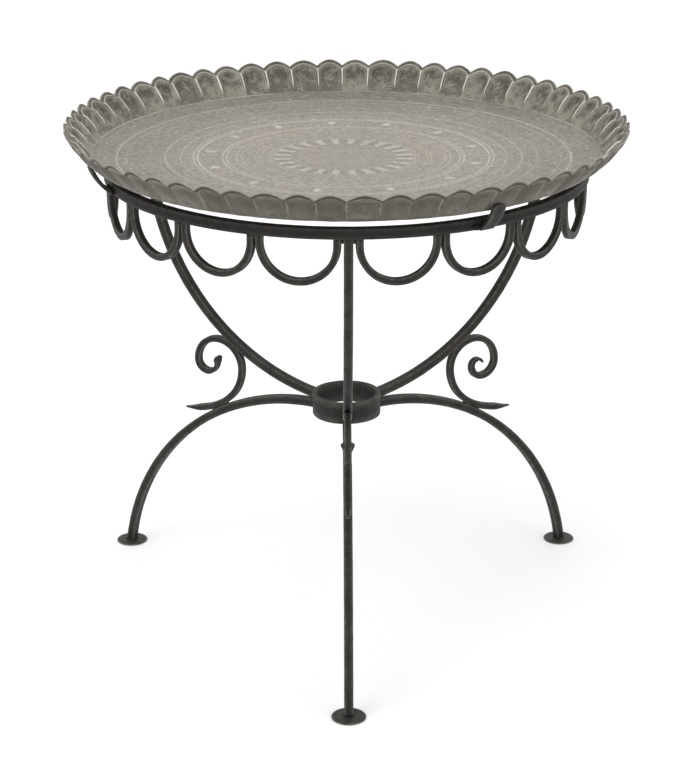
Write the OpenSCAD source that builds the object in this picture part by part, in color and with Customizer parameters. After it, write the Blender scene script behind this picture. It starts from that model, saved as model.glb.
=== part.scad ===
// Round scalloped serving tray on a wrought-iron tripod stand.
// Millimetres, +Z up, the floor is z = 0, the front leg points to -Y.
// The front foot stands out past the rim, so the tray's axis lies a little behind
// the origin, which is the middle of the whole table's footprint.

/* [Tray] */
// Radius at the tips of the scalloped rim
rim_r = 330; // [324:1:336]
// Height of the rim above the floor
rim_z = 610; // [600:1:620]
// Number of scallops round the rim
scallops = 60; // [48:2:72]
// Depth of the notches between scallops, seen from above
notch_depth = 4.3; // [2:0.1:6]
// Radius of the floor
floor_r = 284; // [278:1:288]
// Top of the floor at its edge
floor_z = 570.5; // [569:0.5:572]
// How far the floor dips towards its flat middle
floor_dip = 6; // [2:0.5:7]
// Radius of the flat middle of the floor
flat_r = 60; // [40:5:100]
// Radius of the cove between the floor and the wall
cove_r = 30; // [24:1:34]
// Slope at which the cove passes into the more gently curved wall
cove_turn = 36; // [32:1:40]
// Thickness of the sheet
sheet = 1.5; // [1.2:0.1:2]

/* [Ring and loops] */
// Outer radius of the ring that the tray stands over
ring_r = 285; // [280:1:290]
// Top of the ring
ring_top = 560; // [559:0.5:561]
// Side of the ring's square bar
ring_bar = 12; // [10:0.5:13]
// Side of the square bar of the hanging loops
loop_bar = 8; // [6:0.5:9]
// Outer radius of a loop's round end
loop_r = 46.5; // [44:0.1:46.5]
// Depth of a loop below the ring
loop_drop = 54.5; // [50:0.5:60]
// Distance from the axis to the flat plane of a loop
loop_plane = 275.5; // [275:0.1:276.5]
// Loops between two legs
loops_per_bay = 6; // [5:1:6]

/* [Legs] */
// Side of the square bar of the legs
leg_bar = 10.5; // [9:0.5:11]
// Bending radius of the upper legs, which rise from the collar to the ring
upper_bend = 281; // [275:1:285]
// Bending radius of the lower legs, which fall from the collar to the feet
lower_bend = 288.5; // [280:0.5:295]
// Height of the lower legs where they leave the collar
lower_start_z = 248; // [247:0.5:249]
// Gap between a leg and the loops beside it
leg_gap = 2; // [1:0.5:4]

/* [Collar and feet] */
// Outer radius of the collar
collar_r = 41.5; // [38:0.5:45]
// Thickness of the collar's flat band
collar_wall = 5; // [4:0.5:6]
// Bottom of the collar
collar_z = 243; // [238:0.5:243]
// Height of the collar
collar_h = 27; // [25:0.5:32]
// Radius of a foot disc
foot_r = 19.7; // [16:0.1:22]
// Thickness of a foot disc
foot_thick = 3; // [2:0.5:5]

/* [Scrolls] */
// Side of the scrolls' square bar
scroll_bar = 8; // [8:0.1:8.2]
// Width of the flattened leaf at the inner end of the front and left scrolls
leaf_w = 18; // [12:1:22]
// Length over which a scroll's tail narrows to its tip
tail_taper = 22; // [15:1:40]
// Length over which a scroll's inner end thins out
end_taper = 30; // [20:1:40]

/* [Tray hooks] */
// Width of the flat strip that cradles the tray
hook_w = 16.5; // [12:0.5:18]
// Thickness of the strip
hook_thick = 4.5; // [3:0.5:5]
// Radius to which the strip is bent
hook_bend = 60; // [56:1:63]
// Clearance between a hook's end and the tray's wall
hook_play = 0.35; // [0.2:0.05:1]

/* [Hidden] */
legs = ["front", "right", "left"];
leg_angles = [-90, 30, 150];
hooks = ["right", "left", "back"];
hook_angles = [-58.5, -160, 70];
loop_count = 3 * loops_per_bay;
function two_digits(k) = k < 10 ? str("0", k) : str(k);

// A scroll is a chain of bends, each [radius, turn]: the tail, the shared bends, then its own inner end
tail_bend = 157;
tail_turns = [14, 14, 11.8];
tail_end = [202.7, 212.8];
tail_end_heading = 164;
scroll_bends = [[85, 30], [53, 46], [34, 90]];
scroll_ends = [[[30, 90], [14, 90], [13, 80], [60, 4]],
    [[32, 90], [19.5, 90], [14.4, 90], [8.5, 90], [8, 70]],
    [[30, 90], [14.5, 90], [14, 85], [60, 8]]];
bend_step = 9;
tip_thick = 2;
end_thick = 3;
leaf_length = 15;

// A hook's strip leaves the ring at this slope and ends at the steeper one
hook_rise = 33.5;
hook_end_slope = 74;
hook_start_up = 1.2;

iron = "#3b3a37";
metal = "#a9a298";
$fn = 96;

// Ledge round the top of a foot disc
foot_step = 2;
// Length by which a cut reaches past the metal
past = 30;
// Turn by which the tray's wall runs past the rim before it is trimmed
spare_turn = 1.4;
// How the floor's dip is shaped: 1 would be a straight slope
dip_power = 1.2;
// Straight steps in the tray's section
dip_steps = 8;
cove_steps = 8;
wall_steps = 12;

// The legs' places
ring_mid_r = ring_r - ring_bar / 2;
ring_z = ring_top - ring_bar;
lower_centre_z = lower_start_z - lower_bend;
foot_circle = collar_r + sqrt(pow(lower_bend, 2) - pow(foot_thick - lower_centre_z, 2));
upper_centre_r = ring_mid_r - upper_bend;
upper_centre_z = 538;
axis_y = (foot_circle + foot_r - rim_r) / 2;

// The loops' places: six between each pair of legs, clear of the legs
loop_half_angle = atan(loop_r / (loop_plane - loop_bar / 2));
loop_corner_r = norm([loop_r, loop_plane - loop_bar / 2]);
first_loop = loop_half_angle + asin((leg_bar / 2 + leg_gap) / loop_corner_r);
loop_pitch = (120 - 2 * first_loop) / (loops_per_bay - 1);

// The tray's section: a dished floor, a cove, then a rounder wall that ends at the rim's tips
cove_end_r = floor_r + cove_r * sin(cove_turn);
cove_end_z = floor_z + cove_r * (1 - cos(cove_turn));
wall_chord = norm([rim_r - cove_end_r, rim_z - cove_end_z]);
wall_turn = 2 * (atan2(rim_z - cove_end_z, rim_r - cove_end_r) - cove_turn);
wall_bend = wall_chord / (2 * sin(wall_turn / 2));
wall_centre = [cove_end_r - wall_bend * sin(cove_turn), cove_end_z + wall_bend * cos(cove_turn)];

// ---- helpers ----

module on_axis() {
    translate([0, axis_y, 0]) children();
}

// Stands a flat outline up in the vertical plane through the axis: x is the radius, y the height
module upright(angle, width) {
    rotate([0, 0, angle]) rotate([90, 0, 0]) linear_extrude(width, center = true) children();
}

// Part of a flat ring between two angles less than 180 degrees apart
module arc_band(r, bar, from, to) {
    reach = 2 * (r + bar);
    intersection() {
        difference() {
            circle(r + bar / 2, $fn = 360);
            circle(r - bar / 2, $fn = 360);
        }
        polygon([[0, 0],
            reach * [cos(from), sin(from)],
            reach * [cos((from + to) / 2), sin((from + to) / 2)],
            reach * [cos(to), sin(to)]]);
    }
}

// Points along a chain of bends; each bend is [radius, turn], turning clockwise.
// A point is [x, y, heading, length so far].
function walk(at, heading, bends, gone = 0, k = 0) =
    k >= len(bends) ? [[at.x, at.y, heading, gone]] :
    let (r = bends[k][0], turn = bends[k][1],
         c = at + r * [sin(heading), -cos(heading)],
         steps = ceil(turn / bend_step),
         end = c + r * [-sin(heading - turn), cos(heading - turn)])
    concat(
        [for (i = [0 : steps - 1]) let (h = heading - turn * i / steps)
            [c.x - r * sin(h), c.y + r * cos(h), h, gone + r * turn * i / steps * PI / 180]],
        walk(end, heading - turn, bends, gone + r * turn * PI / 180, k + 1));

function side(p, half) = [p.x - half * sin(p[2]), p.y + half * cos(p[2])];

// ---- tray ----

// Points along the tray's section, shifted out from its inner side
function section_line(out) = concat(
    [[0, floor_z - floor_dip - out]],
    [for (i = [0 : dip_steps]) let (share = i / dip_steps)
        [flat_r + (floor_r - flat_r) * share, floor_z - floor_dip * (1 - pow(share, dip_power)) - out]],
    [for (i = [1 : cove_steps]) let (a = cove_turn * i / cove_steps)
        [floor_r + (cove_r + out) * sin(a), floor_z + cove_r - (cove_r + out) * cos(a)]],
    // the wall runs a little past the rim, where it is trimmed
    [for (i = [1 : wall_steps]) let (a = cove_turn + (wall_turn + spare_turn) * i / wall_steps)
        wall_centre + (wall_bend + out) * [sin(a), -cos(a)]]);

module tray_section() {
    inner = section_line(0);
    outer = section_line(sheet);
    polygon(concat(inner, [for (i = [len(outer) - 1 : -1 : 0]) outer[i]]));
}

// Round outline whose edge is a row of shallow arcs
module scalloped_outline() {
    half_chord = (rim_r - notch_depth) * sin(180 / scallops);
    arc_r = (pow(half_chord, 2) + pow(notch_depth, 2)) / (2 * notch_depth);
    circle(rim_r - notch_depth - 2, $fn = 360);
    for (k = [0 : scallops - 1])
        rotate((k + 0.5) * 360 / scallops) translate([rim_r - arc_r, 0]) circle(arc_r);
}

module tray() color(metal) on_axis() {
    intersection() {
        rotate_extrude($fn = 360) tray_section();
        translate([0, 0, floor_z - past])
            linear_extrude(rim_z - floor_z + past) scalloped_outline();
    }
}

// ---- stand ----

module ring_hoop() color(iron) on_axis() {
    translate([0, 0, ring_z]) difference() {
        cylinder(h = ring_bar, r = ring_r, $fn = 360);
        translate([0, 0, -past]) cylinder(h = 2 * past, r = ring_r - ring_bar, $fn = 360);
    }
}

module collar() color(iron) on_axis() {
    translate([0, 0, collar_z]) difference() {
        cylinder(h = collar_h, r = collar_r);
        translate([0, 0, -past]) cylinder(h = collar_h + 2 * past, r = collar_r - collar_wall);
    }
}

// A U of square bar that hangs below the ring, in a plane square to the radius
module hanging_loop(k) {
    bay = floor((k - 1) / loops_per_bay);
    angle = leg_angles[bay] + first_loop + loop_pitch * ((k - 1) % loops_per_bay);
    centre_z = ring_z - loop_drop + loop_r;
    color(iron) on_axis() rotate([0, 0, angle]) translate([loop_plane, 0, 0])
        rotate([90, 0, 90]) linear_extrude(loop_bar, center = true) {
            translate([0, centre_z]) difference() {
                circle(loop_r, $fn = 180);
                circle(loop_r - loop_bar, $fn = 180);
                translate([-loop_r - 1, 0]) square([2 * loop_r + 2, loop_r + 1]);
            }
            for (s = [-1, 1])
                translate([s * (loop_r - loop_bar / 2) - loop_bar / 2, centre_z])
                    square([loop_bar, ring_z - centre_z]);
        }
}

// Cuts a leg's inner end to the round of the collar
module coped() {
    difference() {
        children();
        translate([0, 0, collar_z - past]) cylinder(h = collar_h + 2 * past, r = collar_r);
    }
}

module upper_leg(angle) color(iron) on_axis() coped() {
    start = asin((collar_r - upper_centre_r - collar_wall) / upper_bend);
    upright(angle, leg_bar) {
        translate([upper_centre_r, upper_centre_z]) arc_band(upper_bend, leg_bar, start - 90, 0);
        translate([ring_mid_r - leg_bar / 2, upper_centre_z])
            square([leg_bar, ring_z - upper_centre_z]);
    }
}

module lower_leg(angle) color(iron) on_axis() coped() {
    foot_angle = asin((foot_thick - lower_centre_z) / lower_bend);
    difference() {
        upright(angle, leg_bar) {
            translate([collar_r, lower_centre_z])
                arc_band(lower_bend, leg_bar, foot_angle - 2, 91);
        }
        translate([0, 0, foot_thick - past]) cylinder(h = past, r = foot_circle + past);
    }
}

module foot(angle) color(iron) on_axis() {
    rotate([0, 0, angle]) translate([foot_circle, 0, 0]) {
        cylinder(h = foot_thick * 0.6, r = foot_r);
        cylinder(h = foot_thick, r = foot_r - foot_step);
    }
}

// A bar curled in the leg's plane: pointed at its tail, thinned or flattened to a leaf at its inner end
module scroll(k) {
    tail_heading = tail_end_heading + tail_turns[k];
    tail_start = tail_end + tail_bend * [sin(tail_end_heading) - sin(tail_heading),
        cos(tail_heading) - cos(tail_end_heading)];
    path = walk(tail_start, tail_heading,
        concat([[tail_bend, tail_turns[k]]], scroll_bends, scroll_ends[k]));
    whole = path[len(path) - 1][3];
    function half_at(s) = min(scroll_bar / 2,
        tip_thick / 2 + (scroll_bar - tip_thick) / 2 * s / tail_taper,
        end_thick / 2 + (scroll_bar - end_thick) / 2 * (whole - s) / end_taper);
    outline = concat(
        [for (p = path) side(p, half_at(p[3]))],
        [for (i = [len(path) - 1 : -1 : 0]) side(path[i], -half_at(path[i][3]))]);
    color(iron) on_axis() {
        upright(leg_angles[k], scroll_bar) polygon(outline);
        if (k != 1) leaf(leg_angles[k], path, outline);
    }
}

// The flattened end of a scroll: the bar spreads sideways as it nears its end
module leaf(angle, path, outline) {
    last = path[len(path) - 1];
    from = [for (p = path) if (last[3] - p[3] > leaf_length) p];
    start = from[len(from) - 1];
    length = norm([last.x - start.x, last.y - start.y]);
    toward = atan2(last.y - start.y, last.x - start.x);
    rotate([0, 0, angle]) rotate([90, 0, 0]) intersection() {
        linear_extrude(leaf_w, center = true) polygon(outline);
        translate([start.x, start.y, 0]) rotate([0, 0, toward]) rotate([90, 0, 0])
            linear_extrude(2 * scroll_bar, center = true)
                polygon([[0, -scroll_bar / 2], [length * 0.8, -leaf_w / 2], [length * 1.2, -leaf_w / 2],
                    [length * 1.2, leaf_w / 2], [length * 0.8, leaf_w / 2], [0, scroll_bar / 2]]);
    }
}

// A flat strip, bent in an arc, from the ring's outer face up to the underside of the tray's wall
module tray_hook(k) {
    centre = [ring_r - hook_bend * sin(hook_rise),
        ring_z + hook_start_up + hook_bend * cos(hook_rise)];
    color(iron) on_axis() upright(hook_angles[k], hook_w) difference() {
        translate(centre) arc_band(hook_bend, hook_thick, hook_rise - 93, hook_end_slope - 90);
        // the ring's outer face
        translate([ring_r - 2 * ring_bar, ring_z - ring_bar]) square([2 * ring_bar, 3 * ring_bar]);
        // the tray's wall
        translate(wall_centre) circle(wall_bend + sheet + hook_play, $fn = 720);
    }
}

tray();
ring_hoop();
collar();
for (k = [0 : 2]) upper_leg(leg_angles[k]);
for (k = [0 : 2]) lower_leg(leg_angles[k]);
for (k = [0 : 2]) scroll(k);
for (k = [0 : 2]) foot(leg_angles[k]);
for (k = [0 : 2]) tray_hook(k);
for (k = [1 : loop_count]) hanging_loop(k);
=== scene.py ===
"""A round engraved tray with a beaten, scalloped rim, on a wrought-iron tripod stand."""

import math

import bpy
import numpy as np
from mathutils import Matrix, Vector, noise


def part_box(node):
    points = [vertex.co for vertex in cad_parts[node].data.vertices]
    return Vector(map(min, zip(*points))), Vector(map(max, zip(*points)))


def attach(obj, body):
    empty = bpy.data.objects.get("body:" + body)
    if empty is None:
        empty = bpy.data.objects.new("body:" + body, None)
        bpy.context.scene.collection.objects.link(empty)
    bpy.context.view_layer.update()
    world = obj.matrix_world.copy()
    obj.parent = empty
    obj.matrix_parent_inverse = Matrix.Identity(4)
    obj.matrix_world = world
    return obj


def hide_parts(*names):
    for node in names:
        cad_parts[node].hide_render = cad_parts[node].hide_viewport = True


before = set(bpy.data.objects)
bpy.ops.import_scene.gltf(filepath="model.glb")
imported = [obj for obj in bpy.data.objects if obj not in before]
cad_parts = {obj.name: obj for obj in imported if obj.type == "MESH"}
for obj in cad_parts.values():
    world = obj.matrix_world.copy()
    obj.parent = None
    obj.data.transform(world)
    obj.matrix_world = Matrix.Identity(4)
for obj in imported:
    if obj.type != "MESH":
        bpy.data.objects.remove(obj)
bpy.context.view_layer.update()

MM = 0.001

# ---------------------------------------------------------------- sizes, in millimetres

ring_low, ring_high = (np.array(p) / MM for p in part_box("ring_hoop"))
tray_low, tray_high = (np.array(p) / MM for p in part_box("tray"))
collar_low, collar_high = (np.array(p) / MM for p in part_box("collar"))
foot_low, foot_high = (np.array(p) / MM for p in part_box("foot_front"))

AXIS = np.array([(ring_low[0] + ring_high[0]) / 2, (ring_low[1] + ring_high[1]) / 2, 0])

SHEET = 1.5
RIM_R = (tray_high[0] - tray_low[0]) / 2
RIM_Z = tray_high[2]
DIP, FLAT_R = 6, 60       # the floor dips to a flat middle
DIP_POWER = 1.2           # how the dip is shaped: 1 would be a straight slope
FLOOR_Z = tray_low[2] + SHEET + DIP
FLOOR_R = 284
COVE_R = 30
COVE_TURN = math.radians(36)
SCALLOPS = 60
NOTCH = 4.3

RING_BAR = 12
RING_R = (ring_high[0] - ring_low[0]) / 2 - RING_BAR / 2
RING_TOP = ring_high[2]
RING_LOW = RING_TOP - RING_BAR

LOOP_BAR = 8
LOOP_R = 46.5 - LOOP_BAR / 2
LOOP_DROP = 54.5
LOOP_PLANE = 275.5
FIRST_LOOP = 11.227
LOOP_PITCH = 19.5092
LOOPS_PER_BAY = 6

LEG_BAR = 10.5
LEG_ANGLES = {"front": -90, "right": 30, "left": 150}
UPPER_BEND = 281
UPPER_Z = 538
LOWER_BEND = 288.5
LOWER_START_Z = 248

COLLAR_WALL = 5
COLLAR_R = (collar_high[0] - collar_low[0]) / 2
COLLAR_Z = collar_low[2]
COLLAR_H = collar_high[2] - collar_low[2]
FOOT_R = (foot_high[0] - foot_low[0]) / 2
FOOT_THICK = foot_high[2]

SCROLL_BAR = 8
TAIL_BEND, TAIL_END, TAIL_HEADING = 157, np.array([202.7, 212.8]), 164
TAIL_TURNS = {"front": 14, "right": 14, "left": 11.8}
SCROLL_BENDS = [(85, 30), (53, 46), (34, 90)]
SCROLL_ENDS = {"front": [(30, 90), (14, 90), (13, 80), (60, 4)],
               "right": [(32, 90), (19.5, 90), (14.4, 90), (8.5, 90), (8, 70)],
               "left": [(30, 90), (14.5, 90), (14, 85), (60, 8)]}

HOOK_ANGLES = {"right": -58.5, "left": -160, "back": 70}
HOOK_W, HOOK_THICK, HOOK_BEND = 16.5, 4.5, 60
HOOK_RISE, HOOK_END, HOOK_UP = 33.5, 74, 1.2
HOOK_PLAY = 0.35

# the tray's section: a dished floor, a cove, then a rounder wall up to the rim's tips
cove_end = np.array([FLOOR_R + COVE_R * math.sin(COVE_TURN), FLOOR_Z + COVE_R * (1 - math.cos(COVE_TURN))])
chord = np.array([RIM_R, RIM_Z]) - cove_end
wall_turn = 2 * (math.atan2(chord[1], chord[0]) - COVE_TURN)
WALL_BEND = np.linalg.norm(chord) / (2 * math.sin(wall_turn / 2))
wall_middle = cove_end + WALL_BEND * np.array([-math.sin(COVE_TURN), math.cos(COVE_TURN)])
COVE_LENGTH = COVE_R * COVE_TURN
CREASE = 14.6             # along the section from the floor's edge, where the petals begin


def smooth(x, low, high):
    """0 below low, 1 above high, and an easy curve between."""
    t = np.clip((np.asarray(x, float) - low) / (high - low), 0, 1)
    return t * t * (3 - 2 * t)


def hump(x, middle, width):
    """1 at the middle, and nearly 0 a width and a half away."""
    return np.exp(-(((np.asarray(x, float) - middle) / width) ** 2))


def rough(points, scale, seed=0.0):
    """Smooth unevenness from -1 to 1 at each point, with lumps about scale millimetres apart."""
    return np.array([noise.noise(Vector((x / scale + seed, y / scale, z / scale))) for x, y, z in points])


def turned(points, degrees):
    """Points in a leg's own frame (radius, sideways, height), turned to its angle and moved to the axis."""
    a = math.radians(degrees)
    p = np.asarray(points, float)
    x = p[:, 0] * math.cos(a) - p[:, 1] * math.sin(a)
    y = p[:, 0] * math.sin(a) + p[:, 1] * math.cos(a)
    return np.stack([x, y, p[:, 2]], 1) + AXIS


# ---------------------------------------------------------------- making and finishing pieces

class Amount:
    """A number that changes over a surface. Sums written with it add Math nodes."""

    def __init__(self, finish, socket):
        self.finish, self.socket = finish, socket

    def sum_with(self, operation, *values):
        return self.finish.add("Math", {"operation": operation}, dict(enumerate(values)))

    def __add__(self, other):
        return self.sum_with("ADD", self, other)

    def __sub__(self, other):
        return self.sum_with("SUBTRACT", self, other)

    def __rsub__(self, other):
        return self.sum_with("SUBTRACT", other, self)

    def __mul__(self, other):
        return self.sum_with("MULTIPLY", self, other)

    __radd__, __rmul__ = __add__, __mul__


class Finish:
    """A node material that is being made."""

    def __init__(self, name):
        self.material = bpy.data.materials.new(name)
        self.material.use_nodes = True
        self.tree = self.material.node_tree
        self.tree.nodes.clear()

    def add(self, kind, settings=None, sockets=None, out=0):
        """A node of that kind. Its settings come first, then what its sockets hold or are linked to."""
        node = self.tree.nodes.new("ShaderNode" + kind)
        for key, value in (settings or {}).items():
            setattr(node, key, value)
        for key, value in (sockets or {}).items():
            socket = node.inputs[key]
            if isinstance(value, Amount):
                self.tree.links.new(value.socket, socket)
            elif isinstance(value, tuple) and socket.type == "RGBA":
                socket.default_value = (*value, 1)
            else:
                socket.default_value = value
        return Amount(self, node.outputs[out]) if node.outputs else None

    def painted(self, name, out="Fac"):
        return self.add("Attribute", {"attribute_name": name}, out=out)

    def between(self, amount, low, high):
        """0 where the amount is under low, 1 where it is over high."""
        return self.add("MapRange", {"interpolation_type": "SMOOTHSTEP"},
                        {"Value": amount, "From Min": low, "From Max": high})

    def tint(self, amount, one, other):
        """The first colour where the amount is 0, and the other where it is 1."""
        return self.add("Mix", {"data_type": "RGBA", "blend_type": "MIX"},
                        {0: amount, 6: one, 7: other}, out=2)

    def stripe(self, amount, middle, half):
        """1 on a line where the amount is at the middle, and 0 from half a width away."""
        off = self.add("Math", {"operation": "ABSOLUTE"}, {0: amount - middle})
        return 1 - self.between(off, half * 0.3, half)

    def lumps(self, place, size, detail=2.0, roughness=0.5):
        """Cloudy noise with lumps of that size in millimetres, from 0 to 1."""
        return self.add("TexNoise", {"noise_dimensions": "3D"},
                        {"Vector": place, "Scale": 1 / size, "Detail": detail, "Roughness": roughness})

    def close(self, shader_sockets, height=None, depth=1.0, strength=1.0):
        """Ends in a Principled surface, with a bump from the height in millimetres."""
        if height is not None:
            shader_sockets["Normal"] = self.add(
                "Bump", {}, {"Height": height, "Distance": depth * MM, "Strength": strength})
        surface = self.add("BsdfPrincipled", {}, shader_sockets)
        self.add("OutputMaterial", {}, {"Surface": surface})
        return self.material


def millimetres(finish):
    """The surface's own position in millimetres, which goes with the piece when it moves."""
    own = finish.add("TexCoord", {}, out="Object")
    return finish.add("VectorMath", {"operation": "SCALE"}, {"Vector": own, "Scale": 1 / MM})


def make_piece(name, body, replaced, material, points, faces, painted=None):
    """A mesh piece from points in millimetres, that rides on its body and stands for the replaced nodes."""
    mesh = bpy.data.meshes.new(name)
    mesh.from_pydata([tuple(p) for p in np.asarray(points) * MM], [], [tuple(f) for f in faces])
    mesh.validate()
    mesh.polygons.foreach_set("use_smooth", [True] * len(mesh.polygons))
    for key, values in (painted or {}).items():
        values = np.asarray(values, np.float32)
        if values.ndim == 2:
            mesh.attributes.new(key, "FLOAT_VECTOR", "POINT").data.foreach_set("vector", values.ravel())
        else:
            mesh.attributes.new(key, "FLOAT", "POINT").data.foreach_set("value", values)
    mesh.materials.append(material)
    piece = bpy.data.objects.new(name, mesh)
    bpy.context.scene.collection.objects.link(piece)
    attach(piece, body)
    if replaced:
        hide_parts(*replaced)
    return piece


# ---------------------------------------------------------------- the stand's iron

def black_iron():
    """Waxed black iron with a dull sheen, greyer on its worn edges, which also carry a painted highlight,
    browner here and there, near black on its welds, and darkened by painted shade on the ring bar.
    """
    f = Finish("black_iron")
    place = millimetres(f)
    edge = f.painted("edge")
    weld_and_shade = f.painted("weld_and_shade")
    cloud = f.lumps(place, 26, 3)
    grain = f.lumps(place, 2.2, 4, 0.65)
    scale = f.lumps(place, 7, 3, 0.6)
    colour = f.tint(f.between(cloud, 0.35, 0.7), (0.0155, 0.0145, 0.0125), (0.027, 0.025, 0.0215))
    colour = f.tint(f.between(scale, 0.52, 0.74) * 0.55, colour, (0.040, 0.032, 0.024))
    # worn edges, lighter from wear and from a painted highlight
    rubbed_edge_and_highlight = edge * f.between(scale * 0.6 + grain * 0.4, 0.3, 0.58)
    colour = f.tint(rubbed_edge_and_highlight * 0.85, colour, (0.135, 0.128, 0.115))
    # near black on the welds, and painted shade on the ring bar under the tray
    colour = f.tint(weld_and_shade * 0.8, colour, (0.007, 0.0065, 0.006))
    dull = 0.48 + grain * 0.22 - rubbed_edge_and_highlight * 0.1 + weld_and_shade * 0.15
    return f.close(
        {"Base Color": colour, "Roughness": dull, "Metallic": 0.2, "Specular IOR Level": 0.24},
        height=scale * 0.5 + grain * 0.28, depth=0.5, strength=0.6)


IRON = black_iron()


def section_points():
    """The outline of a square bar with rounded corners, as shares of its half sizes and its corner,
    with how much of an edge each point is."""
    rows = []
    signs = [(1, 1), (-1, 1), (-1, -1), (1, -1)]
    for q, (sx, sy) in enumerate(signs):
        for part in range(3):
            a = math.radians(90 * q + 45 * part)
            rows.append((sx, math.cos(a), sy, math.sin(a), (0.45, 1, 0.45)[part]))
        nx, ny = signs[(q + 1) % 4]
        for share in (1 / 3, 2 / 3):
            ax, ay = sx + (nx - sx) * share, sy + (ny - sy) * share
            rows.append((ax, nx if sx == nx else 0, ay, ny if sy == ny else 0, 0))
    return np.array(rows)


SECTION = section_points()


def sweep(path, across, wide, thick, corner=1.0, closed=False, wander=0.3, seed=0.0):
    """Points, faces and edge shares of a bar along a path; the finish wears these edges and paints a
    highlight on them. across points along the bar's width.
    """
    path = np.asarray(path, float)
    n, m = len(path), len(SECTION)
    if closed:
        ahead = np.roll(path, -1, 0) - np.roll(path, 1, 0)
    else:
        ahead = np.gradient(path, axis=0)
    ahead /= np.linalg.norm(ahead, axis=1)[:, None]
    across = np.broadcast_to(np.asarray(across, float), path.shape).copy()
    across -= (across * ahead).sum(1)[:, None] * ahead
    across /= np.linalg.norm(across, axis=1)[:, None]
    up = np.cross(ahead, across)
    half_w = np.broadcast_to(np.asarray(wide, float) / 2, (n,))
    half_t = np.broadcast_to(np.asarray(thick, float) / 2, (n,))
    c = np.minimum(corner, 0.45 * np.minimum(half_w, half_t))
    x = SECTION[:, 0] * (half_w - c)[:, None] + SECTION[:, 1] * c[:, None]
    y = SECTION[:, 2] * (half_t - c)[:, None] + SECTION[:, 3] * c[:, None]
    points = path[:, None] + across[:, None] * x[..., None] + up[:, None] * y[..., None]
    outward = points - path[:, None]
    outward /= np.linalg.norm(outward, axis=2)[..., None]
    flat = points.reshape(-1, 3)
    if wander:
        lumps = rough(flat, 11, seed) * 0.6 + rough(flat, 34, seed + 5) * 0.7 - 0.35
        flat = flat + outward.reshape(-1, 3) * (lumps * wander)[:, None]
    edge = np.tile(SECTION[:, 4], n)
    faces = []
    for i in range(n if closed else n - 1):
        a, b = i * m, (i + 1) % n * m
        faces += [(a + j, a + (j + 1) % m, b + (j + 1) % m, b + j) for j in range(m)]
    if not closed:
        faces.append(tuple(range(m - 1, -1, -1)))
        faces.append(tuple((n - 1) * m + j for j in range(m)))
    return flat, faces, edge


def joined(parts):
    """Several swept parts as one set of points, faces and edge shares."""
    points, faces, edges, start = [], [], [], 0
    for p, f, e in parts:
        points.append(p)
        edges.append(e)
        faces += [tuple(i + start for i in face) for face in f]
        start += len(p)
    return np.concatenate(points), faces, np.concatenate(edges)


def iron_piece(name, replaced, shape, weld_and_shade=0.0):
    points, faces, edge = shape
    return make_piece(name, "stand", replaced, IRON, points, faces,
                      {"edge": edge, "weld_and_shade": np.full(len(points), weld_and_shade)})


def arc(centre, radius, start, end, step=3.0):
    """Points (radius, height) along an arc, angles in degrees, about step millimetres apart."""
    count = max(3, math.ceil(abs(math.radians(end - start)) * radius / step) + 1)
    a = np.radians(np.linspace(start, end, count))
    return np.stack([centre[0] + radius * np.cos(a), centre[1] + radius * np.sin(a)], 1)


def in_plane(path):
    """(radius, height) points as (radius, 0 sideways, height)."""
    path = np.asarray(path, float)
    return np.stack([path[:, 0], np.zeros(len(path)), path[:, 1]], 1)


def sideways(degrees):
    a = math.radians(degrees)
    return np.array([-math.sin(a), math.cos(a), 0])


def bead(path, size, seed=0.0):
    """A rippled run of weld: a lumpy rounded cord that thins to nothing at its ends."""
    path = np.asarray(path, float)
    length = np.linalg.norm(path[-1] - path[0])
    count = max(9, int(length / 0.9))
    t = np.linspace(0, 1, count)
    spine = np.stack([np.interp(t, np.linspace(0, 1, len(path)), path[:, k]) for k in range(3)], 1)
    ahead = np.gradient(spine, axis=0)
    ahead /= np.linalg.norm(ahead, axis=1)[:, None]
    helper = np.array([0.31, 0.17, 0.94])
    one = np.cross(ahead, helper)
    one /= np.linalg.norm(one, axis=1)[:, None]
    two = np.cross(ahead, one)
    ripple = 1 + 0.10 * np.sin(np.arange(count) * 2.1 + seed)
    radius = size * np.sqrt(np.clip(1 - (2 * t - 1) ** 4, 0.02, 1)) * ripple
    a = np.linspace(0, 2 * math.pi, 12, endpoint=False)
    ring = np.cos(a)[None, :, None] * one[:, None] + np.sin(a)[None, :, None] * two[:, None]
    points = (spine[:, None] + ring * radius[:, None, None]).reshape(-1, 3)
    points = points + ring.reshape(-1, 3) * (rough(points, 2.6, seed) * 0.16 * size)[:, None]
    faces = []
    for i in range(count - 1):
        faces += [(12 * i + j, 12 * i + (j + 1) % 12, 12 * (i + 1) + (j + 1) % 12, 12 * (i + 1) + j)
                  for j in range(12)]
    faces.append(tuple(range(11, -1, -1)))
    faces.append(tuple(12 * (count - 1) + j for j in range(12)))
    return points, faces, np.zeros(len(points))


# the ring under the tray
around = np.linspace(0, 2 * math.pi, 600, endpoint=False)
ring_path = np.stack([RING_R * np.cos(around), RING_R * np.sin(around),
                      np.full(600, RING_TOP - RING_BAR / 2)], 1) + AXIS
# the ring bar is made near black all over: painted shade from the tray above it
iron_piece("ring_bar", ["ring_hoop"],
           sweep(ring_path, (0, 0, 1), RING_BAR, RING_BAR, corner=0.8, wander=0.12, closed=True), weld_and_shade=0.65)

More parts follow.
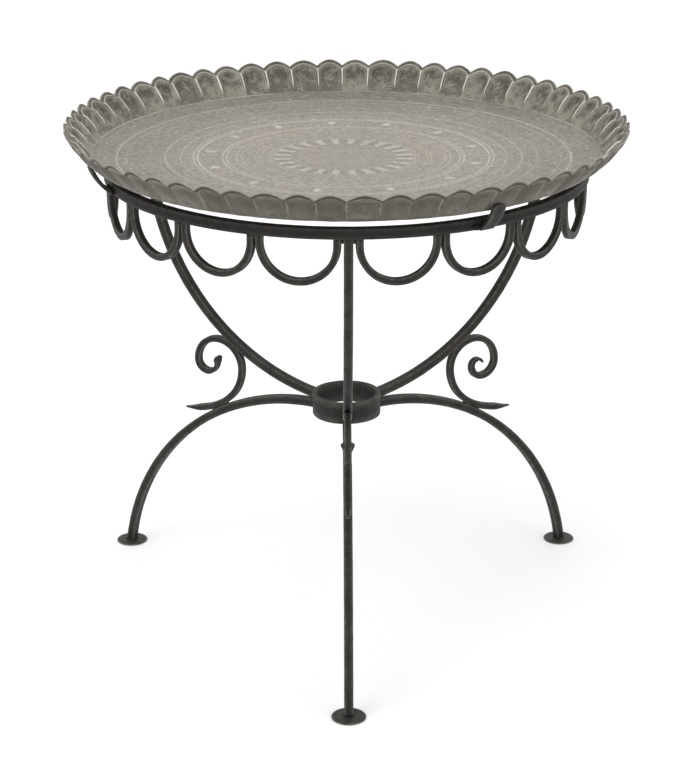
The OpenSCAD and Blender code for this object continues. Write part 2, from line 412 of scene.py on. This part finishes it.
# the hanging loops
loop_angles = [LEG_ANGLES[leg] + FIRST_LOOP + LOOP_PITCH * i
               for leg in ("front", "right", "left") for i in range(LOOPS_PER_BAY)]
loop_mid_z = RING_LOW - LOOP_DROP + LOOP_R + LOOP_BAR / 2
half_round = arc((0, loop_mid_z), LOOP_R, 180, 360, 2.6)
arm = np.linspace(RING_LOW + 0.6, loop_mid_z, 4)[:-1]
loop_line = np.concatenate([
    np.stack([np.full(3, -LOOP_R), arm], 1), half_round, np.stack([np.full(3, LOOP_R), arm[::-1]], 1)])
for k, angle in enumerate(loop_angles):
    local = np.stack([np.full(len(loop_line), LOOP_PLANE), loop_line[:, 0], loop_line[:, 1]], 1)
    a = math.radians(angle)
    iron_piece(f"loop_bar_{k + 1:02d}", [f"loop_{k + 1:02d}"],
               sweep(turned(local, angle), (math.cos(a), math.sin(a), 0), LOOP_BAR, LOOP_BAR,
                     corner=0.7, wander=0.15, seed=k * 3.7))

# the legs
upper_mid_r = RING_R - UPPER_BEND
lower_mid_z = LOWER_START_Z - LOWER_BEND
upper_start = math.degrees(math.asin((COLLAR_R - upper_mid_r - 2) / UPPER_BEND)) - 90
upper_line = np.concatenate([arc((upper_mid_r, UPPER_Z), UPPER_BEND, upper_start, 0),
                             [(RING_R, UPPER_Z + 5), (RING_R, RING_LOW + 0.6)]])
foot_turn = math.degrees(math.asin((FOOT_THICK - 1 - lower_mid_z) / LOWER_BEND))
lower_line = arc((COLLAR_R, lower_mid_z), LOWER_BEND, 90.4, foot_turn)
for n, (leg, angle) in enumerate(LEG_ANGLES.items()):
    for part, line in (("upper", upper_line), ("lower", lower_line)):
        iron_piece(f"{part}_leg_bar_{leg}", [f"{part}_leg_{leg}"],
                   sweep(turned(in_plane(line), angle), sideways(angle), LEG_BAR, LEG_BAR,
                         corner=0.8, wander=0.16, seed=20 + n * 4))

# the collar that holds the legs together
collar_path = np.stack([(COLLAR_R - COLLAR_WALL / 2) * np.cos(around[::5]),
                        (COLLAR_R - COLLAR_WALL / 2) * np.sin(around[::5]),
                        np.full(120, COLLAR_Z + COLLAR_H / 2)], 1) + AXIS
iron_piece("collar_band", ["collar"],
           sweep(collar_path, (0, 0, 1), COLLAR_H, COLLAR_WALL, corner=0.9, closed=True, seed=3))


def scroll_line(leg):
    """A scroll's centre line as (radius, height), with the length so far."""
    h0, h1 = math.radians(TAIL_HEADING), math.radians(TAIL_HEADING + TAIL_TURNS[leg])
    at = TAIL_END + TAIL_BEND * np.array([math.sin(h0) - math.sin(h1), math.cos(h1) - math.cos(h0)])
    heading, gone = TAIL_HEADING + TAIL_TURNS[leg], 0.0
    points, lengths = [at], [0.0]
    for radius, turn in [(TAIL_BEND, TAIL_TURNS[leg])] + SCROLL_BENDS + SCROLL_ENDS[leg]:
        h = math.radians(heading)
        middle = at + radius * np.array([math.sin(h), -math.cos(h)])
        steps = math.ceil(math.radians(turn) * radius / min(2.5, radius / 7))
        for i in range(1, steps + 1):
            b = math.radians(heading - turn * i / steps)
            points.append(middle + radius * np.array([-math.sin(b), math.cos(b)]))
            lengths.append(gone + radius * math.radians(turn) * i / steps)
        at, heading, gone = points[-1], heading - turn, lengths[-1]
    return np.array(points), np.array(lengths)


# the scrolls, pointed at the tail, thinned or flattened to a leaf at the inner end
TIP_THICK, END_THICK, TAIL_TAPER, END_TAPER, LEAF_W, LEAF_LENGTH = 1.6, 2.6, 22, 30, 18, 15
for leg, angle in LEG_ANGLES.items():
    line, gone = scroll_line(leg)
    left = gone[-1] - gone
    thick = np.minimum(np.minimum(SCROLL_BAR, TIP_THICK + (SCROLL_BAR - TIP_THICK) * gone / TAIL_TAPER),
                       END_THICK + (SCROLL_BAR - END_THICK) * left / END_TAPER)
    wide = SCROLL_BAR - 4 * smooth(-gone, -22, 0)
    if leg == "right":
        wide = wide - 2.5 * smooth(-left, -14, 0)
    else:
        wide = wide + (LEAF_W - SCROLL_BAR) * smooth(-left, -LEAF_LENGTH, -1)
        wide = wide * np.sqrt(np.clip(1 - np.clip((3.5 - left) / 3.5, 0, 1) ** 2, 0.3, 1))
    iron_piece(f"scroll_bar_{leg}", [f"scroll_{leg}"],
               sweep(turned(in_plane(line), angle), sideways(angle), wide, thick,
                     corner=0.7, wander=0.15, seed=40 + angle))

# the feet, with the marks of turning
foot_profile = [(0, 0.2), (FOOT_R - 0.6, 0), (FOOT_R, 0.5), (FOOT_R, 1.3), (FOOT_R - 0.5, 1.8),
                (FOOT_R - 1.9, 1.95), (FOOT_R - 2.3, 2.75)]
for r in np.arange(FOOT_R - 3.0, 5, -0.8):
    foot_profile.append((r, FOOT_THICK - 0.05 - 0.14 * (int(r / 0.8) % 3)))
foot_profile.append((0, FOOT_THICK - 0.1))
foot_circle = COLLAR_R + math.sqrt(LOWER_BEND ** 2 - (FOOT_THICK - lower_mid_z) ** 2)
for leg, angle in LEG_ANGLES.items():
    rows, faces, steps = [], [], 96
    for r, z in foot_profile[1:-1]:
        a = np.linspace(0, 2 * math.pi, steps, endpoint=False)
        rows.append(np.stack([foot_circle + r * np.cos(a), r * np.sin(a), np.full(steps, z)], 1))
    count = len(rows)
    middles = [(foot_circle, 0, z) for r, z in (foot_profile[0], foot_profile[-1])]
    points = np.concatenate(rows + [middles])
    for i in range(count - 1):
        faces += [(i * steps + j, i * steps + (j + 1) % steps, (i + 1) * steps + (j + 1) % steps,
                   (i + 1) * steps + j) for j in range(steps)]
    faces += [(count * steps, (j + 1) % steps, j) for j in range(steps)]
    faces += [(count * steps + 1, (count - 1) * steps + j, (count - 1) * steps + (j + 1) % steps)
              for j in range(steps)]
    edge = np.repeat([1.0 if FOOT_R - 0.7 < r else 0.25 * (int(r / 0.8) % 3)
                      for r, z in foot_profile[1:-1]], steps)
    edge = np.concatenate([edge, [0, 0]])
    iron_piece(f"foot_disc_{leg}", [f"foot_{leg}"], (turned(points, angle), faces, edge))

# the hooks that cradle the tray: strips bent up from the ring's outer face to the tray's wall
HOOK_TUCK = 1             # degrees of the strip's bend that lie inside the ring's face
TIP_ROUND = 6             # length over which a hook's end is rounded
hook_r = ring_high[0] - AXIS[0]
hook_middle = np.array([hook_r - HOOK_BEND * math.sin(math.radians(HOOK_RISE)),
                        RING_LOW + HOOK_UP + HOOK_BEND * math.cos(math.radians(HOOK_RISE))])
for n, (side, angle) in enumerate(HOOK_ANGLES.items()):
    line = arc(hook_middle, HOOK_BEND, HOOK_RISE - 90 - HOOK_TUCK, HOOK_END - 90, 0.8)
    outward = (line - hook_middle) / HOOK_BEND
    # thinned on its inner side where it meets the wall
    room = np.linalg.norm(line - wall_middle, axis=1) - WALL_BEND - SHEET - HOOK_PLAY
    inner = np.clip(room / 0.87, -1.3, HOOK_THICK / 2)
    thick = HOOK_THICK / 2 + inner
    line = line + outward * ((HOOK_THICK / 2 - inner) / 2)[:, None]
    left = np.linspace(len(line) * 0.8, 0, len(line))
    round_end = np.sqrt(np.clip(1 - np.clip((TIP_ROUND - left) / TIP_ROUND, 0, 1) ** 2, 0.12, 1))
    iron_piece(f"tray_hook_strip_{side}", [f"tray_hook_{side}"],
               sweep(turned(in_plane(line), angle), sideways(angle), HOOK_W * round_end,
                     thick, corner=0.7, wander=0.12, seed=60 + n))

# the welds
welds = []
for n in range(len(loop_angles)):
    if (n + 1) % LOOPS_PER_BAY:
        mid = (loop_angles[n] + loop_angles[n + 1]) / 2
        welds.append(bead(turned([(273.6, 0, RING_LOW - 1.6), (284.2, 0, RING_LOW - 1.6)], mid), 2.7, n))
for n, angle in enumerate(LEG_ANGLES.values()):
    for s in (-1, 1):
        y = s * (LEG_BAR / 2 + 1.1)
        run = [(273.4, y, RING_LOW - 2.2), (284.4, y, RING_LOW - 2.2)]
        welds.append(bead(turned(run, angle), 3.1, n + s))
iron_piece("ring_welds", [], joined(welds), weld_and_shade=0.6)

welds = []
upper_z = UPPER_Z - math.sqrt(UPPER_BEND ** 2 - (COLLAR_R - upper_mid_r) ** 2)
for n, angle in enumerate(LEG_ANGLES.values()):
    for z, rise in ((upper_z, 5.5), (LOWER_START_Z, 4.5)):
        for s in (-1, 1):
            y = s * (LEG_BAR / 2 + 0.3)
            welds.append(bead(turned([(41.4, y, z - rise), (41.6, y, z + rise)], angle), 1.7, n + s + z))
iron_piece("collar_welds", [], joined(welds), weld_and_shade=0.5)

welds = []
for n, (leg, angle) in enumerate(LEG_ANGLES.items()):
    line, gone = scroll_line(leg)
    for middle, radius in (((upper_mid_r, UPPER_Z), UPPER_BEND), ((COLLAR_R, lower_mid_z), LOWER_BEND)):
        reach = np.linalg.norm(line - middle, axis=1) - radius
        clear = np.abs(reach) - (LEG_BAR + SCROLL_BAR) / 2
        touching = np.flatnonzero((clear < 1.1) & (gone < gone[-1] * 0.75))
        if len(touching) < 2:
            continue
        near = line[touching]
        inward = (near - middle) / np.linalg.norm(near - middle, axis=1)[:, None]
        seam = near - inward * (np.sign(reach[touching]) * SCROLL_BAR / 2)[:, None]
        for s in (-1, 1):
            path = np.stack([seam[:, 0], np.full(len(seam), s * 3.1), seam[:, 1]], 1)
            welds.append(bead(turned(path, angle), 2.0, n * 2 + s))
iron_piece("scroll_welds", [], joined(welds), weld_and_shade=0.55)

welds = []
for n, angle in enumerate(HOOK_ANGLES.values()):
    for s in (-1, 1):
        y = s * (HOOK_W / 2 + 0.2)
        welds.append(bead(turned([(285.6, y, RING_LOW - 0.5), (287.6, y, RING_LOW + 5)], angle), 1.6, n + s))
    blob = turned([(284.6, -HOOK_W / 2 - 9, RING_LOW + 5), (285.2, -HOOK_W / 2 - 1, RING_LOW + 2)], angle)
    welds.append(bead(blob, 3.2, n + 5))
for n, angle in enumerate(LEG_ANGLES.values()):
    around_foot = []
    for q in np.linspace(0, 2 * math.pi, 28):
        square = (LEG_BAR / 2 + 0.4) / max(abs(math.cos(q)), abs(math.sin(q)))
        reach = min(square, (LEG_BAR / 2 + 0.4) * 1.25)
        around_foot.append((foot_circle + reach * math.cos(q), reach * math.sin(q), FOOT_THICK + 0.1))
    welds.append(bead(turned(around_foot, angle), 1.0, 9 + n))
iron_piece("foot_and_hook_welds", [], joined(welds), weld_and_shade=0.5)

# ---------------------------------------------------------------- the tray

# how far the hammer has driven each petal, where its sides are, and how worn it is
dice = np.random.default_rng(7)
petal_depth = dice.uniform(0.8, 1.15, SCALLOPS)
petal_tone = dice.uniform(-1, 1, SCALLOPS)
petal_reach = dice.uniform(0, 0.35, SCALLOPS)
PETAL = 360 / SCALLOPS
notch_at = np.arange(SCALLOPS) * PETAL
notch_at = notch_at + 0.9 * hump(notch_at, 135, 42) + np.clip(dice.normal(0, 0.3, SCALLOPS), -0.5, 0.5)

DISH = 1.3                # depth of a petal's hollow inside its arched border
BACK = 5.0                # how far the ridges between petals stand in from the lobes
DRIFT = -3.5              # how far sideways the engraver's circles sit from the middle

# engraved circles on the floor: radius, half width, how bright
CIRCLES = [(84.7, 0.8, 0.4), (88.2, 0.7, 0.35), (98.5, 0.7, 0.3), (103.4, 0.7, 0.35), (120, 0.7, 0.4),
           (126, 0.8, 0.5), (137, 0.8, 0.65), (142, 0.9, 0.75), (171.4, 1.0, 0.9), (176.3, 0.9, 0.65),
           (191, 0.7, 0.45), (209, 0.8, 0.55), (227, 0.7, 0.25), (254, 0.7, 0.3), (266, 1.0, 0.7)]
TONGUES, TONGUE_IN, TONGUE_OUT = 24, 62, 82.5
MEDAL_ANGLES, MEDAL_R = (15, 43, 70, 95, 120, 146, 173, 200, 230, 259, 289, 319, 346), 158


def petal_place(count):
    """Angles of a ring of points, the same number in each petal and closer near its sides, with the
    petal each is in, how far across it from -1 to 1, and the petal's width in degrees."""
    each = count // SCALLOPS
    even = np.arange(each) * 2 / each - 1
    u = np.tile(0.55 * even + 0.45 * np.sin(even * math.pi / 2), SCALLOPS)
    petal = np.repeat(np.arange(SCALLOPS), each)
    width = np.diff(np.append(notch_at, notch_at[0] + 360))[petal]
    return notch_at[petal] + (u + 1) / 2 * width, petal, u, width


def edge_radius(u, petal):
    """Radius of the scalloped edge where u is -1 and 1 at the notches and 0 at a petal's tip."""
    half_chord = (RIM_R - NOTCH) * math.sin(math.radians(PETAL / 2))
    bow = (half_chord ** 2 + NOTCH ** 2) / (2 * NOTCH)
    c = RIM_R - bow
    a = np.asarray(u) * math.radians(PETAL / 2)
    return c * np.cos(a) + np.sqrt(bow ** 2 - (c * np.sin(a)) ** 2) - petal_reach[petal] * (1 - u ** 2)


def section(length):
    """Radius, height and tilt of the tray's inner side, that length from the floor's edge."""
    length = np.asarray(length, float)
    tilt = np.where(length < COVE_LENGTH, length / COVE_R, COVE_TURN + (length - COVE_LENGTH) / WALL_BEND)
    on_cove = (FLOOR_R + COVE_R * np.sin(tilt), FLOOR_Z + COVE_R * (1 - np.cos(tilt)))
    on_wall = (wall_middle[0] + WALL_BEND * np.sin(tilt), wall_middle[1] - WALL_BEND * np.cos(tilt))
    return (np.where(length < COVE_LENGTH, on_cove[0], on_wall[0]),
            np.where(length < COVE_LENGTH, on_cove[1], on_wall[1]), tilt)


def edge_length(u, petal):
    """Length along the section from the floor's edge to the scalloped edge."""
    tilt = np.arcsin((edge_radius(u, petal) - wall_middle[0]) / WALL_BEND)
    return COVE_LENGTH + (tilt - COVE_TURN) * WALL_BEND


def wall_shape(length, radius, u, petal, width):
    """How far the wall is pushed out there, and the distances that its lines and colours follow."""
    up = length - CREASE
    rim = edge_length(u, petal)
    half = radius * np.radians(width) / 2
    step = 0.02
    lean = (edge_length(u + step, petal) - edge_length(u - step, petal)) / (2 * step * half)
    to_edge = (rim - length) / np.sqrt(1 + lean ** 2)
    to_side = (1 - np.abs(u)) * half
    # a soft least of the distances to the lip, the ridges and the crease
    k = 0.9
    inside = -k * np.log(np.exp(-(to_edge - 4.9) / k) + np.exp(-(to_side - 0.3) / k)
                         + np.exp(-(up * 0.6 + 2) / k))
    hollow = 1 - (1 - np.clip(inside / 8, 0, 1)) ** 2
    near_edge = smooth(-to_edge, -8, -0.8)
    rise = smooth(up, 0, 20)
    cup = np.abs(u) ** 2.3
    out = -BACK * cup * rise * (1 - near_edge) * petal_depth[petal]
    out = out - DISH * (1 - hollow) * (1 - near_edge) * smooth(up, -6, 6)
    out = out - 0.5 * hump(to_edge, 2.4, 1.5) + 0.35 * hump(to_edge, 4.7, 0.8)
    return out, {"up": up, "lip": to_edge, "side": to_side, "inside": inside}


def off_centre(radius):
    """How far sideways the engraver's circles have drifted off the middle."""
    return DRIFT * (1 - smooth(radius, 262, FLOOR_R))


def sag(radius):
    """The dip of the floor towards its flat middle."""
    share = np.clip((np.asarray(radius, float) - FLAT_R) / (FLOOR_R - FLAT_R), 0, 1)
    return -DIP * (1 - share ** DIP_POWER)


def floor_height(radius, angle):
    """Engraving on the floor: its height, and its worn and dark shares."""
    height, worn, dark = np.zeros(radius.shape), np.zeros(radius.shape), np.zeros(radius.shape)
    for r, w, bright in CIRCLES:
        line = hump(radius, r, w)
        height -= 0.35 * line
        height += 0.12 * hump(radius, r + 2 * w, w) + 0.12 * hump(radius, r - 2 * w, w)
        worn = np.maximum(worn, bright * line)
    turn = np.degrees(angle) % 360
    # a ring of upright tongues, waisted in the middle
    u = (turn / 360 * TONGUES) % 1 - 0.5
    along = (radius - TONGUE_IN) / (TONGUE_OUT - TONGUE_IN)
    half = 0.30 - 0.10 * np.sin(np.clip(along, 0, 1) * math.pi)
    tongue = (smooth(-np.abs(u), -half - 0.05, -half + 0.05)
              * smooth(along, -0.04, 0.06) * smooth(-along, -1.04, -0.94))
    height += 0.35 * tongue
    worn = np.maximum(worn, 0.5 * tongue)
    dark = np.maximum(dark, 0.25 * smooth(along, -0.06, 0.02) * smooth(-along, -1.06, -0.98) * (1 - tongue))
    # small leaf-shaped medals
    nearest = np.min(np.abs((turn[:, None] - MEDAL_ANGLES + 180) % 360 - 180), axis=1)
    v = np.radians(nearest) * MEDAL_R
    leaf = 1 - np.abs((radius - MEDAL_R) / 7.5) ** 1.6 - np.abs(v / 5.2) ** 1.6
    medal = smooth(leaf, 0, 0.25)
    height += 0.3 * medal
    worn = np.maximum(worn, 0.7 * medal)
    # a star of eight points round the middle
    star = 24 + 9 * np.abs(((turn / 45) % 1) - 0.5) * 2
    outline = hump(radius, star, 1.1)
    height -= 0.25 * outline
    worn = np.maximum(worn, 0.25 * outline)
    return height, worn, dark


def tray_piece():
    """The whole tray: rings of points over the floor and up the wall, round its edge, and back under it."""
    stations = set(np.arange(4, 60, 4.0)) | set(np.arange(60, 88, 1.5)) | set(np.arange(88, 284, 4.5))
    for r, w, bright in CIRCLES:
        stations |= {r - 2.2 * w, r - 1.1 * w, r, r + 1.1 * w, r + 2.2 * w}
    stations |= set(np.arange(150, 171, 1.8))
    stations = sorted(s for s in stations if s < FLOOR_R - 0.3)
    kept = [stations[0]]
    for s in stations[1:]:
        if s - kept[-1] > 0.45:
            kept.append(s)
    cove = np.concatenate([np.linspace(0.2, CREASE - 3, 6), np.linspace(CREASE - 2, CREASE - 0.4, 4)])
    up_wall = np.concatenate([np.linspace(0, 0.1, 6), np.linspace(0.13, 0.78, 20), np.linspace(0.8, 1, 18)])
    far = {"up": -20.0, "lip": 60.0, "side": 16.0, "inside": -20.0}

    rows = []   # each row is one ring of points with what is painted on it

    def ring(count, kind, value, under):
        degrees, petal, u, width = petal_place(count)
        a = np.radians(degrees)
        zeros = np.zeros(count)
        paint = {"worn": zeros, "dark": zeros, "under": zeros + float(under),
                 "tone": petal_tone[petal] * (1.0 if kind == "wall" else 0.0)}
        dx = 0.0
        if kind == "floor":
            radius = np.full(count, float(value))
            h, paint["worn"], paint["dark"] = floor_height(radius, a)
            if under:
                h, paint["worn"], paint["dark"] = -SHEET + zeros, zeros, zeros
            ripple = 0.22 * rough(np.stack([radius * np.cos(a), radius * np.sin(a), zeros], 1), 22)
            flat, height = radius, FLOOR_Z + sag(radius) + h + ripple
            pattern = radius
            dx = off_centre(radius)
            paint.update({key: zeros + value for key, value in far.items()})
        else:
            length = np.full(count, float(value))
            if kind == "wall":
                length = CREASE + value * (edge_length(u, petal) - CREASE)
            radius, z, tilt = section(length)
            out, lines = wall_shape(length, radius, u, petal, width)
            paint.update(lines)
            spot = np.stack([radius * np.cos(a), radius * np.sin(a), z], 1)
            keep = smooth(lines["lip"], 0.5, 5) * smooth(length, -1, 8)
            out = out + (0.3 * rough(spot, 9) + 0.2 * rough(spot, 3.6) - 0.3) * keep
            out = out + (SHEET if under else 0.0)
            flat = np.minimum(radius + out * np.sin(tilt), RIM_R - 0.05)
            height = np.minimum(z - out * np.cos(tilt), RIM_Z - 0.05)
            pattern = FLOOR_R + length
        x, y = flat * np.cos(a) + dx, flat * np.sin(a)
        height = np.broadcast_to(height, (count,))
        place = np.stack([100 * np.cos(a), 100 * np.sin(a), np.broadcast_to(pattern, (count,))], 1)
        return {"n": count, "p": np.stack([x, y, height], 1) + AXIS, "place": place, **paint}

    coarse, middle, fine = 360, 720, 1440
    for s in kept:
        rows.append(ring(coarse if s < 95 else middle, "floor", s, False))
    for s in cove:
        rows.append(ring(fine, "cove", s, False))
    for s in up_wall:
        rows.append(ring(fine, "wall", s, False))
    # the thickness of the sheet at the edge
    last, below = rows[-1], ring(fine, "wall", 1.0, True)
    mid = {key: (last[key] + below[key]) / 2 if key != "n" else fine for key in last}
    outward = (last["p"] - AXIS) * np.array([1, 1, 0])
    outward /= np.linalg.norm(outward, axis=1)[:, None]
    mid["p"] = mid["p"] + outward * 0.25
    rows.append(mid)
    rows.append(below)
    for s in up_wall[-2::-1]:
        rows.append(ring(fine, "wall", s, True))
    for s in cove[::-1]:
        rows.append(ring(fine, "cove", s, True))
    for s in (275, 250, 225, 200, 175, 150, 125, 100):
        rows.append(ring(middle, "floor", s, True))
    for s in (80, 60, 40, 20, 8):
        rows.append(ring(coarse, "floor", s, True))

    starts = np.concatenate([[0], np.cumsum([row["n"] for row in rows])])
    faces = []
    for i in range(len(rows) - 1):
        a, b, n, m = starts[i], starts[i + 1], rows[i]["n"], rows[i + 1]["n"]
        if n == m:
            j = np.arange(n)
            k = (j + 1) % n
            faces += np.stack([a + j, b + j, b + k, a + k], 1).tolist()
        elif m == 2 * n:
            for j in range(n):
                k = (j + 1) % n
                faces += [(a + j, b + 2 * j, b + 2 * j + 1), (a + j, b + 2 * j + 1, a + k),
                          (a + k, b + 2 * j + 1, b + (2 * j + 2) % m)]
        else:
            for j in range(m):
                k = (j + 1) % m
                faces += [(b + j, a + 2 * j + 1, a + 2 * j), (b + j, b + k, a + 2 * j + 1),
                          (b + k, a + (2 * j + 2) % n, a + 2 * j + 1)]
    total = int(starts[-1])
    centres = np.array([[DRIFT, 0, FLOOR_Z - DIP], [DRIFT, 0, FLOOR_Z - DIP - SHEET]]) + AXIS
    first, end, n, m = 0, int(starts[-2]), rows[0]["n"], rows[-1]["n"]
    faces += [(total, first + j, first + (j + 1) % n) for j in range(n)]
    faces += [(total + 1, end + (j + 1) % m, end + j) for j in range(m)]
    points = np.concatenate([row["p"] for row in rows] + [centres])
    painted = {}
    for key in ("worn", "dark", "tone", "under", "up", "lip", "side", "inside"):
        middle_value = far.get(key, 0.0)
        painted[key] = np.concatenate([row[key] for row in rows] + [[middle_value, middle_value]])
    painted["place"] = np.concatenate([row["place"] for row in rows] + [[(0, 0, 0), (0, 0, 0)]])
    return points, faces, painted


def engraved_metal():
    """Old tinned copper, engraved all over: worn bright on its engraved lines and dark in its engraved
    hollows, with painted highlights on its ridges and painted shade high in its petals and underneath.
    """
    f = Finish("engraved_metal")
    place = millimetres(f)
    round_place = f.painted("place", "Vector")
    radius = f.add("SeparateXYZ", {}, {"Vector": round_place}, out=2)
    worn, dark, tone, under = (f.painted(k) for k in ("worn", "dark", "tone", "under"))
    up, lip, side, inside = (f.painted(k) for k in ("up", "lip", "side", "inside"))

    cloud = f.lumps(place, 60, 3, 0.55)
    patch = f.lumps(place, 11, 4, 0.62)
    dapple = f.lumps(round_place, 4, 4, 0.68)
    speck = f.lumps(place, 3.4, 4, 0.75)
    drawn_out = f.add("VectorMath", {"operation": "MULTIPLY"}, {0: place, 1: (1.0, 0.5, 1.0)})
    streak = f.lumps(drawn_out, 3.6, 3, 0.65)
    strokes = f.between(dapple * 0.4 + speck * 0.3 + streak * 0.3, 0.50, 0.62)

    # the floor: warm in the middle, greyer outside
    on_floor = 1 - f.between(up, -12, 0)
    outer = f.between(radius, 150, 240)
    warm = f.tint(f.between(cloud, 0.38, 0.62), (0.288, 0.261, 0.226), (0.270, 0.252, 0.221))
    grey = f.tint(f.between(cloud, 0.38, 0.62), (0.215, 0.205, 0.176), (0.240, 0.224, 0.192))
    colour = f.tint(outer, warm, grey)
    colour = f.tint(f.between(patch, 0.42, 0.68) * 0.22, colour, (0.150, 0.142, 0.120))
    colour = f.tint(strokes * on_floor * 0.55, colour, (0.48, 0.449, 0.397))
    colour = f.tint(f.between(dapple * 0.5 + speck * 0.5, 0.5, 0.38) * 0.5, colour, (0.115, 0.107, 0.090))
    # the wall: greyer and darker, with painted shade high in the petals, darker along the lip, and painted
    # shade on its underside
    wall = f.between(up, -7, 2)
    wall_colour = f.tint(f.between(patch * 0.5 + speck * 0.5 + tone * 0.06, 0.43, 0.57),
                         (0.265, 0.246, 0.208), (0.140, 0.128, 0.107))
    colour = f.tint(wall, colour, wall_colour)
    dish = f.between(inside, 0.5, 5)
    # painted shade in the upper part of each petal's hollow
    high = dish * (1 - f.between(lip, 12, 36))
    colour = f.tint(high * f.between(patch, 0.25, 0.62) * 0.8, colour, (0.075, 0.069, 0.057))
    shade = under * wall * f.between(patch * 0.6 + speck * 0.4, 0.55, 0.43) * 0.8
    colour = f.tint(shade, colour, (0.078, 0.071, 0.060))
    band = f.between(lip, 0.5, 1.5) * (1 - f.between(lip, 3.6, 4.9)) * wall
    colour = f.tint(band * (0.30 + speck * 0.6 + under * 0.4), colour, (0.060, 0.055, 0.045))
    colour = f.tint(dark * (0.45 + speck * 0.5), colour, (0.080, 0.074, 0.062))
    # bright lines: the engraving and its fine arcs worn bright, painted highlights on the arched borders and
    # the ridges, and bright lines on the crease and the edge, all dimmer underneath
    broken = f.between(patch * 0.4 + speck * 0.6, 0.34, 0.56)
    low = f.between(up, 5, 17)
    # painted highlight along each petal's arched border
    shoe = f.stripe(inside, 0, 0.95) * low
    ridge = f.stripe(side, 0, 1.25) * low * f.between(lip, 2.5, 5.5)
    fine_shoe = f.stripe(inside, 2.6, 0.6) * low * 0.45 + f.stripe(inside, 4.6, 0.6) * low * 0.3
    crease = f.stripe(up, 0, 1.0) * f.between(cloud * 0.5 + patch * 0.5, 0.44, 0.6) * 0.7
    edge = 1 - f.between(lip, 0.3, 0.9)
    lines = shoe * (0.25 + broken * 0.45) + (fine_shoe + crease + edge * 0.45 + worn) * broken
    lines = lines * (1 - under * 0.75)
    colour = f.tint(lines, colour, (0.53, 0.498, 0.438))
    # painted highlight along the ridges between the petals
    colour = f.tint(ridge * (0.55 + broken * 0.45) * (1 - under * 0.85), colour, (0.66, 0.625, 0.555))
    dull = 0.46 + patch * 0.16 + speck * 0.12 - lines * 0.12
    height = strokes * -0.5 * on_floor + speck * 0.35 + patch * 0.7 + shoe * 0.5 - fine_shoe * 0.6
    return f.close(
        {"Base Color": colour, "Roughness": dull, "Metallic": 0.55, "Specular IOR Level": 0.3},
        height=height, depth=0.5, strength=0.9)


points, faces, painted = tray_piece()
make_piece("engraved_tray", "tray", ["tray"], engraved_metal(), points, faces, painted)

# ---------------------------------------------------------------- floor, light and camera


def pale_floor():
    f = Finish("pale_floor")
    cloud = f.add("TexNoise", {}, {"Vector": f.add("TexCoord", {}, out="Object"), "Scale": 0.6})
    return f.close({"Base Color": f.tint(cloud, (0.90, 0.90, 0.90), (0.93, 0.93, 0.93)), "Roughness": 0.9})


def studio_floor():
    """A wide sheet that curves up far behind, so that no edge shows."""
    line = [(y, 0.0) for y in np.linspace(-14, 14, 9)]
    line += [(14 + 6 * math.sin(a), 6 - 6 * math.cos(a)) for a in np.linspace(0.2, math.pi / 2, 8)]
    xs = np.linspace(-16, 16, 9)
    points = [(x, y, z) for y, z in line for x in xs]
    faces = [(i * 9 + j, i * 9 + j + 1, (i + 1) * 9 + j + 1, (i + 1) * 9 + j)
             for i in range(len(line) - 1) for j in range(8)]
    mesh = bpy.data.meshes.new("studio_floor")
    mesh.from_pydata(points, [], faces)
    mesh.polygons.foreach_set("use_smooth", [True] * len(faces))
    mesh.materials.append(pale_floor())
    sheet = bpy.data.objects.new("studio_floor", mesh)
    bpy.context.scene.collection.objects.link(sheet)


def soft_light(name, place, aim, size, watts):
    light = bpy.data.lights.new(name, "AREA")
    light.shape, light.size, light.size_y, light.energy = "RECTANGLE", size[0], size[1], watts
    lamp = bpy.data.objects.new(name, light)
    lamp.location = place
    lamp.rotation_mode = "QUATERNION"
    lamp.rotation_quaternion = (Vector(place) - Vector(aim)).to_track_quat("Z", "Y")
    bpy.context.scene.collection.objects.link(lamp)


studio_floor()
world = bpy.data.worlds.new("studio")
world.use_nodes = True
sky = world.node_tree.nodes["Background"]
sky.inputs["Color"].default_value = (1, 1, 1, 1)
sky.inputs["Strength"].default_value = 1.12
bpy.context.scene.world = world
soft_light("key", (-1.6, -1.5, 2.4), (0, 0, 0.5), (1.6, 1.6), 20)
soft_light("fill", (2.2, -1.6, 1.6), (0, 0, 0.4), (1.6, 1.6), 8)
soft_light("back", (0.3, 2.2, 2.2), (0, 0, 0.5), (2.4, 1.2), 8)

PITCH, SWING = 0.354, 0.0077
camera_data = bpy.data.cameras.new("camera")
camera_data.lens = 107.54
camera_data.clip_end = 100
camera = bpy.data.objects.new("camera", camera_data)
camera.location = (-0.0202, -2.6152, 1.2494)
forward = Vector((math.sin(SWING) * math.cos(PITCH), math.cos(SWING) * math.cos(PITCH), -math.sin(PITCH)))
camera.rotation_mode = "QUATERNION"
camera.rotation_quaternion = forward.to_track_quat("-Z", "Y")
bpy.context.scene.collection.objects.link(camera)
bpy.context.scene.camera = camera
bpy.context.scene.view_settings.view_transform = "Standard"
